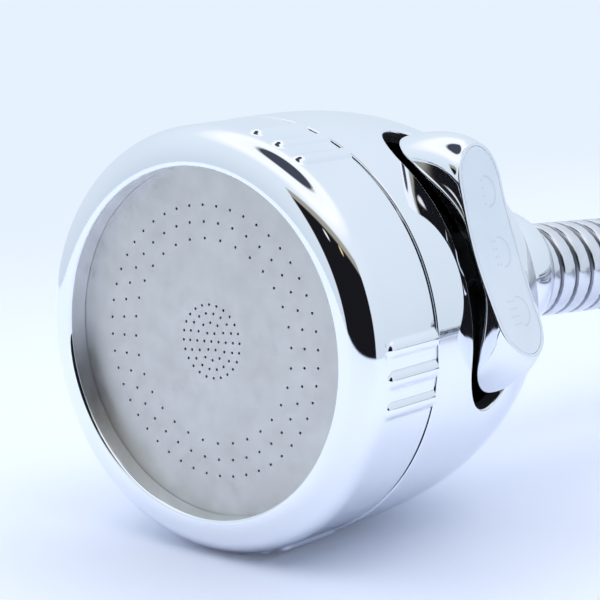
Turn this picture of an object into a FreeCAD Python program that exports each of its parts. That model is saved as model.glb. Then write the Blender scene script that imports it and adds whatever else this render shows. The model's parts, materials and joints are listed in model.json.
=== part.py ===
import FreeCAD, Part
import math
import os

# Hand-held bath spray head on a banded steel hose, in millimetres.
# The head lies on its side: its axis runs along Y, from the spray plate at the front to the hose.
# Outlines are given as (radius, place along the axis) and turned about the Y axis.

V = FreeCAD.Vector
AXIS = V(0, 1, 0)
ORIGIN = V(0, 0, 0)

# Fits
running = 0.05
loose = 0.25

# Body shell: a short cylinder, a dome and a neck
shell_radius = 27.4
shell_wall = 1.8
dome_start = 15.0
dome_length = 36.5
dome_power = 2.5
neck_radius = 9.6
neck_wall = 0.9
neck_bore = neck_radius - neck_wall
neck_end = dome_start + dome_length + 0.7

# Core inside the shell, and its bore
core_clearance = 0.15
thread_step = 0.35
core_wall = 2.5
core_front = 1.7
core_radius = shell_radius - shell_wall - core_clearance
thread_radius = core_radius - thread_step
core_bore = thread_radius - core_wall

# Spray plate and its holes
plate_ledge = 1.3
plate_radius = core_bore + plate_ledge
plate_thickness = 0.5
plate_view_margin = 1.6
plate_view_radius = plate_radius - plate_view_margin
hole_radius = 0.18
ring_holes = {17.3: 48, 15.2: 40, 13.1: 32}
ring_phase = 4.25
centre_rings = {0.0: 1, 1.2: 6, 2.4: 12, 3.6: 18, 4.7: 24}

# Face ring
ring_radius = shell_radius - 0.1
ring_front = -2.8
ring_back = 10.5
ring_corner = 3.9
lip_radius = 0.5
rib_groups = 5
ribs_per_group = 3
rib_first_angle = -3.0
rib_pitch_angle = 8.0
rib_radius = 1.35
rib_depth = 0.8
rib_axis_radius = ring_radius - rib_depth
rib_front = 1.9
seam_gap = 0.38

# Lever and its slot, seen along the direction in which the lever stands out of the body
lever_angle = 24.5
lever_place = 24.0
lever_stand = 1.55
lever_top = shell_radius + lever_stand
lever_half_length = 14.0
lever_half_width = 4.5
lever_side_bulge = 0.3
lever_shift = -0.8
lever_lean = 3.3
lever_hollow_radius = 85.0
lever_now = 1.0
wing_half_length = 17.3
wing_half_width = 4.75
wing_waist = 3.7
web_half_width = 2.6
lever_skirt_radius = shell_radius
slot_half_length = wing_half_length + 1.8
slot_half_width = wing_half_width + 0.9
pivot_depth = 6.9
pivot_radius = shell_radius - pivot_depth
pin_radius = 1.5
pin_wall = 1.9
hub_radius = pin_radius + pin_wall
pin_seal_radius = pin_radius + 1.4
hub_back = lever_place + 3.0
cap_thickness = 0.5
cap_inset = 0.5
mark_places = (7.7, -0.1, -7.9)
mark_radius = 1.8
mark_shift = 0.7
mark_line = 0.22

# Distributor: a centre chamber and a ring chamber with a wall between them
distributor_front = 1.2
distributor_length = 5.5
distributor_back = distributor_front + distributor_length
chamber_depth = 2.0
wall_inner = 5.6
wall_outer = 7.4
seal_ring_radius = (wall_inner + wall_outer) / 2
seal_section = 0.58
seal_groove_half_width = seal_section + 0.07
ring_feed_angles = (90.0, 210.0, 330.0)
ring_feed_place = 11.5

# Valve: a seat with three ports, and a disc that turns on it
seat_thickness = 2.5
seat_front = distributor_back + 0.2
seat_back = seat_front + seat_thickness
chamber_radius = pivot_radius - 5.0
disc_radius = chamber_radius - 1.0
disc_thickness = 2.8
disc_front = seat_back + 0.2
disc_back = disc_front + disc_thickness
drive_pin_radius = 1.5
drive_pin_place = disc_radius - drive_pin_radius - 1.0
post_radius = 2.5
port_radius = 2.2
port_place = (disc_radius - 1.0 + post_radius) / 2
port_angles = (0.0, 120.0, 240.0)
disc_port_angles = (-35.0, 85.0, 205.0)
port_seal_wall = 1.1
port_seal_radius = port_radius + port_seal_wall
seat_screw_angles = (60.0, 180.0, 300.0)
seat_screw_place = core_bore - 3.6
seat_screw_radius = 1.3
seat_screw_head_radius = seat_screw_radius + 1.1
seat_screw_depth = 5.0

# Core: bulkhead behind the valve, its middle, and the tube that leads to the ball stud
crank_thickness = 2.3
crank_half_width = 3.0
bulkhead_thickness = 2.0
crank_front = disc_back + 0.6
crank_back = crank_front + crank_thickness
bulkhead_front = crank_back + 0.3
bulkhead_back = bulkhead_front + bulkhead_thickness
mid_radius = pivot_radius - 1.0
mid_back = hub_back + 3.6
tube_back = neck_end - 3.2
tube_radius = neck_bore - 0.7
shank_clearance = 0.1
shank_radius = 5.3
tube_bore = shank_radius + shank_clearance

# Ball stud and the nut that holds it in the neck
shank_length = 10.2
flange_thickness = 1.6
flange_front = tube_back + 0.2
flange_back = flange_front + flange_thickness
flange_radius = neck_bore - 1.3
shank_front = flange_front - shank_length
stud_groove_front = flange_front - 6.2
stud_groove_back = stud_groove_front + 1.8

# Hose and the liner inside it
hose_radius = 7.0
hose_wall = 1.4
liner_wall = 1.1
hose_bore = hose_radius - hose_wall
liner_radius = hose_bore - 0.2
liner_bore = liner_radius - liner_wall
band_pitch = 3.3
band_width = 2.55
band_groove = 0.55
front_bands = 10
hose_direction = V(0.159, 0.985, -0.048)

# Ball joint; places along its cup are counted from the ball's centre
ball_radius = 6.5
ball_place = neck_end + ball_radius + 1.8
ball_neck_radius = 3.3
ball_bore = 2.0
ball_clearance = 0.15
ball_seal_section = 0.5
cup_front = 1.5 - ball_radius
cup_back = ball_radius + 0.5
cup_bore = ball_radius + ball_clearance + running
cup_end_bore = min(cup_bore, hose_radius - 0.3)
cup_end_wall = 0.44
cup_radius = math.hypot(cup_back, cup_bore + cup_end_wall)
cup_mouth_radius = 5.1
hose_start = cup_back + 0.1
stem_radius = liner_bore - 0.1
stem_wall = 1.6
stem_bore = stem_radius - stem_wall
stem_flange_back = cup_back - 1.0
stem_flange_front = stem_flange_back - 1.1
ball_seal_place = stem_flange_front - ball_seal_section - 0.2

# Coil
coil_outer = 86.0
coil_pitch = 2 * hose_radius + 3.0
coil_inner = coil_outer - coil_pitch
layer_height = 2 * hose_radius + 0.5

# Hose end
inlet_thread_radius = 9.9
nut_wall = 2.1
nut_radius = inlet_thread_radius + nut_wall
ferrule_wall = 1.25
ferrule_radius = hose_radius + running + ferrule_wall
nipple_head_radius = inlet_thread_radius - 0.9
nipple_collar_radius = stem_radius + 1.9
nipple_face = 11.8
washer_thickness = 2.0
washer_radius = inlet_thread_radius - 0.6
inlet_thread_start = nipple_face + washer_thickness + 0.5
inlet_thread_length = 8.3
nut_mouth = inlet_thread_start + inlet_thread_length

# Nodes of the hose, which the base of the head's box leaves out
on_the_hose = ("hose_", "end_", "inlet_")


def outline(start, steps):
    """Closed face in the XY plane; a step is a point, or a pair of points for an arc."""
    edges = []
    here = V(start[0], start[1], 0)
    for step in list(steps) + [start]:
        if isinstance(step[0], tuple):
            middle = V(step[0][0], step[0][1], 0)
            there = V(step[1][0], step[1][1], 0)
            edges.append(Part.Arc(here, middle, there).toShape())
        else:
            there = V(step[0], step[1], 0)
            if there.distanceToPoint(here) > 1e-6:
                edges.append(Part.LineSegment(here, there).toShape())
        here = there
    return Part.Face(Part.Wire(edges))


def turned(start, *steps):
    """Solid of revolution about the head's axis."""
    return outline(start, steps).revolve(ORIGIN, AXIS, 360)


def rod(radius, y_from, y_to, x=0.0, z=0.0):
    """Cylinder along Y."""
    return Part.makeCylinder(radius, y_to - y_from, V(x, y_from, z), AXIS)


def tube(outer, inner, y_from, y_to):
    return rod(outer, y_from, y_to).cut(rod(inner, y_from, y_to))


def block(x_from, x_to, y_from, y_to, half_z):
    """Box that is centred on Z = 0."""
    corner = V(x_from, y_from, -half_z)
    return Part.makeBox(x_to - x_from, y_to - y_from, 2 * half_z, corner)


def joined(shapes):
    """One solid from several that touch or overlap."""
    first = shapes[0]
    return first.fuse(shapes[1:]).removeSplitter()


def polar(radius, degrees):
    """Point across the head's axis: degrees from +X towards +Z."""
    angle = math.radians(degrees)
    return radius * math.cos(angle), radius * math.sin(angle)


def to_lever(shape):
    """Turns a shape drawn with the lever's direction on +X to its real direction."""
    placed = shape.copy()
    placed.rotate(ORIGIN, AXIS, -lever_angle)
    return placed


def rocked(shape):
    """Turns a shape about the lever's pivot to the photographed position."""
    placed = shape.copy()
    placed.rotate(V(pivot_radius, 0, 0), AXIS, lever_now)
    return placed


def dome_place(radius, length, at_radius):
    """Place along the axis where a dome of the given sizes has narrowed to a radius."""
    return dome_start + length * (1 - (at_radius / radius) ** dome_power) ** (1 / dome_power)


def make_face_ring():
    ring = turned(
        (plate_view_radius, 0.0),
        (plate_view_radius, ring_front + lip_radius),
        ((plate_view_radius + 0.3 * lip_radius, ring_front + 0.3 * lip_radius),
         (plate_view_radius + lip_radius, ring_front)),
        (ring_radius - ring_corner, ring_front),
        ((ring_radius - 0.293 * ring_corner, ring_front + 0.293 * ring_corner),
         (ring_radius, ring_front + ring_corner)),
        (ring_radius, ring_back),
        (thread_radius + running, ring_back),
        (thread_radius + running, core_front - 0.1),
        (plate_radius + loose, core_front - 0.1),
        (plate_radius + loose, 0.0),
    )
    ribs = []
    for group in range(rib_groups):
        for index in range(ribs_per_group):
            middle = rib_first_angle + 360.0 * group / rib_groups
            x, z = polar(rib_axis_radius, middle + rib_pitch_angle * (index - 1))
            bar = rod(rib_radius, rib_front, ring_back, x, z)
            end = Part.makeSphere(rib_radius, V(x, rib_front, z))
            ribs.append(bar.fuse(end))
    keep_out = rod(rib_axis_radius - 0.4, ring_front, ring_back)
    trimmed = [rib.cut(keep_out) for rib in ribs]
    return joined([ring] + trimmed)


def hole_places():
    places = []
    for radius, count in ring_holes.items():
        for index in range(count):
            places.append(polar(radius, ring_phase + 360.0 * index / count))
    for radius, count in centre_rings.items():
        for index in range(count):
            places.append(polar(radius, ring_phase + 360.0 * index / count))
    return places


def make_spray_plate():
    plate = rod(plate_radius, 0.0, plate_thickness)
    holes = [rod(hole_radius, -0.5, plate_thickness + 0.5, x, z) for x, z in hole_places()]
    return plate.cut(Part.makeCompound(holes))


def make_plate_gasket():
    return tube(plate_radius, core_bore + 0.15, plate_thickness, core_front)


def make_distributor():
    disc = rod(core_bore - 0.2, distributor_front, distributor_back)
    chamber_back = distributor_front + chamber_depth
    outer_chamber = tube(plate_view_radius - 1.3, wall_outer, distributor_front, chamber_back)
    centre_chamber = rod(wall_inner, distributor_front, chamber_back)
    groove_outer = seal_ring_radius + seal_groove_half_width
    groove_inner = seal_ring_radius - seal_groove_half_width
    seal_groove = tube(groove_outer, groove_inner, distributor_front, distributor_front + 0.55)
    disc = disc.cut(outer_chamber).cut(centre_chamber).cut(seal_groove)
    for degrees in ring_feed_angles:
        x, z = polar(ring_feed_place, degrees)
        disc = disc.cut(rod(port_radius, distributor_front, distributor_back, x, z))
    disc = disc.cut(rod(port_radius, distributor_front, distributor_back))
    channel_end = port_place + port_radius
    centre_channel = block(0, channel_end, distributor_back - 1.5, distributor_back, port_radius)
    return disc.cut(to_lever(centre_channel))


def make_centre_seal():
    return Part.makeTorus(seal_ring_radius, seal_section, V(0, distributor_front - 0.1, 0), AXIS)


def make_valve_seat():
    seat = rod(core_bore - 0.1, seat_front, seat_back)
    post = rod(post_radius, seat_back, disc_back - 0.4)
    seat = joined([seat, post])
    for degrees in port_angles:
        x, z = polar(port_place, degrees)
        seat = seat.cut(rod(port_radius, seat_front, seat_back, x, z))
        seat = seat.cut(rod(port_seal_radius, seat_back - 1.0, seat_back, x, z))
    for x, z in seat_screw_places():
        seat = seat.cut(rod(seat_screw_radius + running, seat_front, seat_back, x, z))
        seat = seat.cut(rod(seat_screw_head_radius + running, seat_front, seat_front + 1.3, x, z))
    return to_lever(seat)


def seat_screw_places():
    return [polar(seat_screw_place, degrees) for degrees in seat_screw_angles]


def make_port_seals():
    seals = []
    seal_back = seat_back + 0.12
    for degrees in port_angles:
        x, z = polar(port_place, degrees)
        outer = rod(port_seal_radius - running, seat_back - 1.0, seal_back, x, z)
        seals.append(outer.cut(rod(port_radius, seat_back - 1.0, seal_back, x, z)))
    return to_lever(Part.makeCompound(seals))


def make_seat_screws():
    screws = []
    head_back = seat_front + 1.25
    for x, z in seat_screw_places():
        head = rod(seat_screw_head_radius, seat_front, head_back, x, z)
        shank = rod(seat_screw_radius, head_back, seat_back + seat_screw_depth, x, z)
        recess = rod(0.9, seat_front, seat_front + 0.8, x, z)
        screws.append(joined([head, shank]).cut(recess))
    return to_lever(Part.makeCompound(screws))


def make_selector_disc():
    disc = tube(disc_radius, post_radius + running, disc_front, disc_back)
    for degrees in disc_port_angles:
        x, z = polar(port_place, degrees)
        disc = disc.cut(rod(port_radius, disc_front, disc_back, x, z))
    drive_pin = rod(drive_pin_radius, disc_back, bulkhead_front - 0.4, drive_pin_place, 0)
    disc = joined([disc, drive_pin])
    arm = pivot_radius - drive_pin_place
    disc.rotate(ORIGIN, AXIS, -lever_now * arm / drive_pin_place)
    return to_lever(disc)


def make_core_housing():
    ring_end = ring_back + seam_gap
    core = turned(
        (0, core_front), (thread_radius, core_front), (thread_radius, ring_end), (core_radius, ring_end),
        (core_radius, bulkhead_back), (mid_radius, bulkhead_back), (mid_radius, mid_back),
        (tube_radius + 4, mid_back + 8), (tube_radius, mid_back + 12),
        (tube_radius, tube_back), (0, tube_back),
    )
    core = core.cut(rod(core_bore, core_front, seat_back))
    core = core.cut(rod(chamber_radius, seat_back, bulkhead_front))
    core = core.cut(rod(tube_bore, bulkhead_front, tube_back))
    core = core.cut(rod(tube_bore + 1.4, tube_back - 2.2, tube_back))
    arm_half = crank_half_width + 2.2
    arm_room = joined([
        block(drive_pin_place - 4.0, pivot_radius, disc_back - 0.2, bulkhead_front, arm_half),
        rod(crank_half_width + 0.4, disc_back - 0.2, bulkhead_front, pivot_radius, 0),
    ])
    hub_half = hub_radius + 1.2
    hub_room = joined([
        block(pivot_radius - hub_radius - 0.6, mid_radius + 3, bulkhead_back, hub_back + 0.3, hub_half),
        rod(hub_radius + 0.6, bulkhead_back, hub_back + 0.3, pivot_radius, 0),
    ])
    ear_top = pivot_radius + pin_radius + 0.9
    rear_ear = block(mid_radius - 5.5, ear_top, hub_back + 0.6, mid_back, hub_radius)
    pin_hole = rod(pin_radius + running, disc_back, mid_back - 0.6, pivot_radius, 0)
    seal_room = rod(pin_seal_radius + running, bulkhead_back - 1.5, bulkhead_back, pivot_radius, 0)
    core = core.cut(to_lever(arm_room)).cut(to_lever(hub_room))
    core = joined([core, to_lever(rear_ear)])
    core = core.cut(to_lever(pin_hole)).cut(to_lever(seal_room))
    hole_back = seat_back + seat_screw_depth
    screw_holes = [rod(seat_screw_radius, seat_back, hole_back, x, z) for x, z in seat_screw_places()]
    return core.cut(to_lever(Part.makeCompound(screw_holes)))


def make_pin_seal():
    outer = rod(pin_seal_radius, bulkhead_back - 1.45, bulkhead_back - 0.05, pivot_radius, 0)
    return to_lever(outer.cut(rod(pin_radius + 0.08, 0, bulkhead_back, pivot_radius, 0)))


def make_body_shell():
    front = ring_back + seam_gap
    neck_start = dome_place(shell_radius, dome_length, neck_radius)
    inner = shell_radius - shell_wall
    inner_length = dome_length - shell_wall
    inner_end = dome_place(inner, inner_length, neck_bore)
    outer_curve = dome_edge(shell_radius, dome_length, neck_start)
    inner_curve = dome_edge(inner, inner_length, inner_end)
    straight = [
        (V(shell_radius, dome_start, 0), V(shell_radius, front, 0)),
        (V(shell_radius, front, 0), V(inner, front, 0)),
        (V(inner, front, 0), V(inner, dome_start, 0)),
        (V(neck_bore, inner_end, 0), V(neck_bore, neck_end, 0)),
        (V(neck_bore, neck_end, 0), V(neck_radius, neck_end, 0)),
        (V(neck_radius, neck_end, 0), V(neck_radius, neck_start, 0)),
    ]
    edges = [Part.LineSegment(a, b).toShape() for a, b in straight]
    wire = Part.Wire(Part.__sortEdges__(edges + [outer_curve, inner_curve]))
    shell = Part.Face(wire).revolve(ORIGIN, AXIS, 360)
    slot = slot_prism(slot_half_length, slot_half_width, pivot_radius - 6, shell_radius + 8)
    return shell.cut(to_lever(slot))


def dome_edge(radius, length, y_end):
    """Rounded curve from the widest place back to where the shell meets its neck."""
    points = []
    steps = 14
    last = math.asin(((y_end - dome_start) / length) ** (dome_power / 2))
    for index in range(steps + 1):
        angle = last * index / steps
        across = radius * math.cos(angle) ** (2 / dome_power)
        points.append(V(across, dome_start + length * math.sin(angle) ** (2 / dome_power), 0))
    curve = Part.BSplineCurve()
    curve.interpolate(Points=points, InitialTangent=V(0, 1, 0), FinalTangent=points[-1] - points[-2])
    return curve.toShape()


def slot_prism(half_length, half_width, x_from, x_to):
    """Long hole with round ends, lying along Z and cut along X."""
    end = half_length - half_width
    middle = block(x_from, x_to, lever_place - half_width, lever_place + half_width, end)
    rounds = []
    for z in (-end, end):
        rounds.append(Part.makeCylinder(half_width, x_to - x_from, V(x_from, lever_place, z), V(1, 0, 0)))
    return joined([middle] + rounds)


def lever_section(x, half_length, half_width, waist, shift=0.0):
    """Closed wire across the lever: two sides that curve in or out, and two round ends."""
    side = half_length - 0.9 * half_width
    low, high = shift - side, shift + side
    near, far = lever_place - half_width, lever_place + half_width
    corners = [V(x, near, low), V(x, near, high), V(x, far, high), V(x, far, low)]
    middles = [
        V(x, lever_place - waist, shift), V(x, lever_place, shift + half_length),
        V(x, lever_place + waist, shift), V(x, lever_place, shift - half_length),
    ]
    edges = []
    for index in range(4):
        edges.append(Part.Arc(corners[index], middles[index], corners[(index + 1) % 4]).toShape())
    return Part.Wire(edges)


def face_hollow(offset):
    """The shallow hollow of the lever's outer face, for cutting; it leans to the lever's lower end."""
    lean = math.radians(lever_lean)
    centre_x = lever_top + lever_hollow_radius * math.cos(lean)
    centre_z = lever_shift - lever_hollow_radius * math.sin(lean)
    radius = lever_hollow_radius + offset
    front = lever_place - wing_half_width - 2
    return Part.makeCylinder(radius, 2 * wing_half_width + 4, V(centre_x, front, centre_z), AXIS)


def make_lever_body():
    face_waist = lever_half_width + lever_side_bulge
    top_shift = lever_shift + 0.3
    sections = [
        lever_section(pivot_radius - 1.0, wing_half_length + 0.6, wing_half_width, wing_waist),
        lever_section(pivot_radius + 5.5, wing_half_length - 0.9, wing_half_width, wing_waist, top_shift / 2),
        lever_section(lever_top + 2.1, lever_half_length - 0.3, lever_half_width, face_waist, top_shift),
    ]
    body = Part.makeLoft(sections, True, False)
    body = body.cut(face_hollow(0))
    body = body.cut(rod(lever_skirt_radius, lever_place - 9, lever_place + 9))
    hub_front = bulkhead_back + 0.6
    hub = rod(hub_radius, hub_front, hub_back, pivot_radius, 0)
    web_front, web_back = lever_place - web_half_width, lever_place + web_half_width
    web = block(pivot_radius, lever_top - 0.8, web_front, web_back, hub_radius)
    return joined([body, web, hub])


def cap_prism(inset):
    """Upright block with the outline of the lever's face, drawn in from its edge."""
    half_length, half_width = lever_half_length - inset, lever_half_width - inset
    waist = half_width + lever_side_bulge
    low = lever_section(lever_top - 3, half_length, half_width, waist, lever_shift)
    high = lever_section(lever_top + 3, half_length, half_width, waist, lever_shift)
    return Part.makeLoft([low, high], True, True)


def make_lever():
    pocket = cap_prism(cap_inset).common(face_hollow(cap_thickness))
    pin_hole = rod(pin_radius, bulkhead_back, lever_place + 6, pivot_radius, 0)
    lever = make_lever_body().cut(pocket).cut(pin_hole)
    return to_lever(rocked(lever))


def arch_mark(z, radius, line):
    """Half ring, open towards the spray plate."""
    centre = V(lever_top - 3, lever_place + mark_shift, z)
    outer = Part.makeCylinder(radius, 6, centre, V(1, 0, 0), 180)
    inner = Part.makeCylinder(radius - line, 6, centre, V(1, 0, 0))
    arch = outer.cut(inner)
    arch.rotate(centre, V(1, 0, 0), -90)
    return arch


def dot_mark(y, z, radius):
    return Part.makeCylinder(radius, 6, V(lever_top - 3, y, z), V(1, 0, 0))


def make_lever_plate():
    """Thin face plate with three plain spray marks, engraved a tenth of a millimetre."""
    plate = cap_prism(cap_inset + running).common(face_hollow(cap_thickness)).cut(face_hollow(0))
    marks = []
    for column, place in enumerate(mark_places):
        z = lever_shift + place
        marks.append(arch_mark(z, mark_radius, mark_line))
        for step in range(column + 1):
            for row in (-1, 0, 1):
                y = lever_place + mark_shift - 0.6 - 0.6 * step
                marks.append(dot_mark(y, z + 0.85 * row, 0.16))
    engraving = Part.makeCompound(marks).common(face_hollow(0.1))
    return to_lever(rocked(plate.cut(engraving)))


def make_lever_pin():
    return to_lever(rod(pin_radius, crank_front - 0.1, mid_back - 0.8, pivot_radius, 0))


def make_crank_arm():
    front, back = crank_front, crank_back
    hub = rod(pin_radius + 1.2, front, back, pivot_radius, 0)
    arm_end = drive_pin_place - drive_pin_radius - 1.1
    arm = block(arm_end, pivot_radius, front, back, crank_half_width)
    fork_end = drive_pin_place + drive_pin_radius + 0.9
    fork = block(0, fork_end, front, back, drive_pin_radius + loose)
    crank = joined([hub, arm]).cut(fork).cut(rod(pin_radius, front, back, pivot_radius, 0))
    return to_lever(rocked(crank))


def make_ball_stud():
    shank = rod(shank_radius, shank_front, flange_front)
    flange = rod(flange_radius, flange_front, flange_back)
    neck = rod(ball_neck_radius, flange_back, ball_place)
    ball = Part.makeSphere(ball_radius, V(0, ball_place, 0))
    bore = rod(ball_bore, shank_front - 1, ball_place + ball_radius + 1)
    groove = tube(shank_radius + 1, shank_radius - 1, stud_groove_front, stud_groove_back)
    return joined([shank, flange, neck, ball]).cut(bore).cut(groove)


def make_stud_seal():
    front, back = stud_groove_front + running, stud_groove_back - running
    return tube(shank_radius + 0.04, shank_radius - 0.95, front, back)


def make_neck_nut():
    front = flange_back + 0.15
    return turned(
        (ball_neck_radius + 1.6, front), (neck_bore, front), (neck_bore, neck_end),
        (neck_bore - 0.8, neck_end + 0.4), (ball_neck_radius + 2.6, neck_end + 0.4),
    )


def along_hose(shape):
    """Moves a shape drawn on the Y axis, with the ball's centre at its origin, onto the hose's axis."""
    placed = shape.copy()
    direction = hose_unit()
    there = FreeCAD.Placement(V(0, ball_place, 0), FreeCAD.Rotation(AXIS, direction))
    placed.Placement = there.multiply(placed.Placement)
    return placed


def hose_unit():
    direction = V(hose_direction)
    return direction.normalize()


def make_socket_cup():
    outer = Part.makeSphere(cup_radius, ORIGIN)
    outer = outer.common(rod(cup_radius + 1, cup_front, cup_back))
    cup = outer.cut(Part.makeSphere(ball_radius + ball_clearance, ORIGIN))
    bore = [rod(cup_bore, 0, stem_flange_back + 0.05), rod(cup_end_bore, 0, cup_back + 1)]
    cup = cup.cut(joined(bore))
    mouth_back = cup_front + 0.85
    mouth = turned(
        (0, cup_front - 1), (cup_mouth_radius + 3.1, cup_front - 1),
        (cup_mouth_radius, mouth_back), (0, mouth_back),
    )
    return along_hose(cup.cut(mouth))


def ball_seal_ring_radius():
    """Radius at which the seal's round section just clears the ball."""
    reach = ball_radius + ball_clearance + ball_seal_section
    return math.sqrt(reach ** 2 - ball_seal_place ** 2)


def make_ball_seat():
    ring = tube(cup_bore - 0.03, 3.6, 0.3, stem_flange_front - 0.1)
    ring = ring.cut(Part.makeSphere(ball_radius + ball_clearance, ORIGIN))
    room = ball_seal_ring_radius() + ball_seal_section
    groove = tube(room, 3.0, ball_seal_place - ball_seal_section, stem_flange_front)
    return along_hose(ring.cut(groove))


def make_ball_seal():
    centre = V(0, ball_seal_place, 0)
    return along_hose(Part.makeTorus(ball_seal_ring_radius(), ball_seal_section, centre, AXIS))


def make_cup_nut():
    return along_hose(tube(cup_end_bore, stem_radius + running, stem_flange_back + 0.05, cup_back))


def make_hose_nipple():
    flange = rod(cup_bore - running, stem_flange_front, stem_flange_back)
    stem = rod(stem_radius, stem_flange_back, cup_back + 18)
    bore = rod(stem_bore, stem_flange_front - 1, cup_back + 19)
    ball_room = Part.makeSphere(ball_radius + ball_clearance, ORIGIN)
    return along_hose(joined([flange, stem]).cut(bore).cut(ball_room))


def circle_wire(radius, y):
    return Part.Wire(Part.makeCircle(radius, V(0, y, 0), AXIS))


def make_hose_front():
    """The banded stretch at the head: flat bands with a narrow groove after each."""
    circles = []
    for index in range(front_bands):
        start = hose_start + band_pitch * index
        edge = start + band_width
        slope = (band_pitch - band_width) / 3
        circles.append(circle_wire(hose_radius, start))
        circles.append(circle_wire(hose_radius, edge))
        circles.append(circle_wire(hose_radius - band_groove, edge + slope))
        circles.append(circle_wire(hose_radius - band_groove, edge + 2 * slope))
    end = hose_start + band_pitch * front_bands
    circles.append(circle_wire(hose_radius, end))
    bands = Part.makeLoft(circles, True, True)
    return along_hose(bands.cut(rod(hose_bore, hose_start, end)))


def floor_height():
    """Height of the surface the head lies on, below the head's axis."""
    lowest = 0.0
    for group in range(rib_groups):
        for index in range(ribs_per_group):
            middle = rib_first_angle + 360.0 * group / rib_groups
            lowest = min(lowest, polar(rib_axis_radius, middle + rib_pitch_angle * (index - 1))[1])
    return lowest - rib_radius


def lead_points():
    """Hand-chosen route from the banded stretch to the top layer of the coil."""
    unit = hose_unit()
    start = V(0, ball_place, 0) + unit * (hose_start + band_pitch * front_bands)
    top = floor_height() + hose_radius + layer_height
    return [
        start,
        start + unit * 24.0,
        V(12.8, 150.0, -7.0),
        V(14.3, 177.0, -9.4),
        V(15.0, 205.0, -7.8),
        V(15.0, 231.0, top),
        V(15.0, 255.0, top),
    ]


def tail_points(start):
    """Hand-chosen route from the coil's floor layer to the hose's end fitting."""
    low = floor_height() + hose_radius
    return [
        start,
        start + V(0, -27.0, 0),
        start + V(3.0, -57.0, 0),
        V(start.x + 8.5, start.y - 87.0, low + 1.55),
        V(start.x + 14.5, start.y - 115.0, low + 4.1),
    ]


def rounded_route(points, name):
    """Straight runs joined by tangent arcs, each as large as its two runs allow."""
    edges = []
    here = points[0]
    radii = []
    for before, corner, after in zip(points, points[1:], points[2:]):
        first, second = corner - before, after - corner
        turn = first.getAngle(second)
        shorter = min(first.Length, second.Length)
        reach = 0.45 * shorter
        radii.append(reach / math.tan(turn / 2))
        first.normalize()
        second.normalize()
        arc_start, arc_end = corner - first * reach, corner + second * reach
        inward = second - first
        inward.normalize()
        depth = radii[-1] * (1 / math.cos(turn / 2) - 1)
        edges.append(Part.LineSegment(here, arc_start).toShape())
        edges.append(Part.Arc(arc_start, corner + inward * depth, arc_end).toShape())
        here = arc_end
    edges.append(Part.LineSegment(here, points[-1]).toShape())
    print(name, "radii", [round(radius, 1) for radius in radii])
    return Part.Wire(edges)


def swept(path, radius, name):
    """Round rod along a path; prints its volume beside section times length."""
    edge = path.OrderedEdges[0]
    start = edge.valueAt(edge.FirstParameter)
    along = edge.tangentAt(edge.FirstParameter)
    ring = Part.Wire(Part.makeCircle(radius, start, along))
    solid = path.makePipeShell([ring], True, False)
    expected = math.pi * radius * radius * path.Length
    sizes = [round(value) for value in (path.Length, solid.Volume, expected)]
    print(name, "length, volume and expected volume", sizes)
    return solid


def hollow(path, outer, inner, name):
    return swept(path, outer, name).cut(swept(path, inner, name + " bore"))


def coil_station(turn):
    """Point and heading after a number of turns: top layer in, half a turn down, floor layer out."""
    low = floor_height() + hose_radius
    if turn <= 1.0:
        radius, height, slope, swell = coil_outer - coil_pitch * turn, layer_height, 0.0, -coil_pitch
    elif turn < 1.5:
        share = (turn - 1.0) / 0.5
        height = layer_height * 0.5 * (1 + math.cos(math.pi * share))
        slope = -layer_height * 0.5 * math.pi * math.sin(math.pi * share) / 0.5
        radius, swell = coil_inner, 0.0
    else:
        radius, height, slope, swell = coil_inner + coil_pitch * (turn - 1.5), 0.0, 0.0, coil_pitch
    angle = math.pi - 2 * math.pi * turn
    entry = lead_points()[-1]
    centre = V(entry.x + coil_outer, entry.y, 0)
    outward = V(math.cos(angle), math.sin(angle), 0)
    onward = V(math.sin(angle), -math.cos(angle), 0)
    point = centre + outward * radius + V(0, 0, low + height)
    if turn in (0.0, 1.0, 1.5, 2.5):
        swell = 0.0
    heading = onward * (2 * math.pi * radius) + outward * swell + V(0, 0, slope)
    return point, heading.normalize()


def arc_from(start, tangent, end):
    """Arc that leaves start along tangent and ends at end."""
    chord = end - start
    length = chord.Length
    chord.normalize()
    lean = tangent.getAngle(chord)
    side = tangent - chord * tangent.dot(chord)
    side.normalize()
    middle = start + chord * (length / 2) + side * (length / 2 * math.tan(lean / 2))
    return Part.Arc(start, middle, end).toShape()


def biarc(start, leave, end, arrive):
    """Two arcs that join two points with given headings."""
    gap = end - start
    both = leave + arrive
    spread = 2 * (1 - leave.dot(arrive))
    along = gap.dot(both)
    reach = (-along + math.sqrt(along * along + spread * gap.dot(gap))) / spread
    middle = (start + leave * reach + end - arrive * reach) * 0.5
    second = arc_from(end, arrive * -1, middle)
    return [arc_from(start, leave, middle), second]


def coil_path():
    edges = []
    quarters = 10
    stations = [coil_station(0.25 * index) for index in range(quarters + 1)]
    for (start, leave), (end, arrive) in zip(stations, stations[1:]):
        edges.extend(biarc(start, leave, end, arrive))
    return Part.Wire(Part.__sortEdges__(edges))


def print_coil_gap(path):
    """Least gap between the coil's turns, measured on points along its middle line."""
    points = path.discretize(Number=700)
    step = path.Length / 699
    skip = int(0.4 * 2 * math.pi * coil_inner / step)
    least = 1e9
    for index, point in enumerate(points):
        for other in points[index + skip:]:
            least = min(least, point.distanceToPoint(other))
    print("coil gap", round(least - 2 * hose_radius, 2))


def liner_path(lead, coil, tail):
    """The hose's middle line from the swivel cup to its far end."""
    unit = hose_unit()
    start = V(0, ball_place, 0) + unit * hose_start
    first = Part.LineSegment(start, lead_points()[0]).toShape()
    edges = [first] + lead.OrderedEdges + coil.OrderedEdges + tail.OrderedEdges
    return Part.Wire(Part.__sortEdges__(edges))


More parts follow.
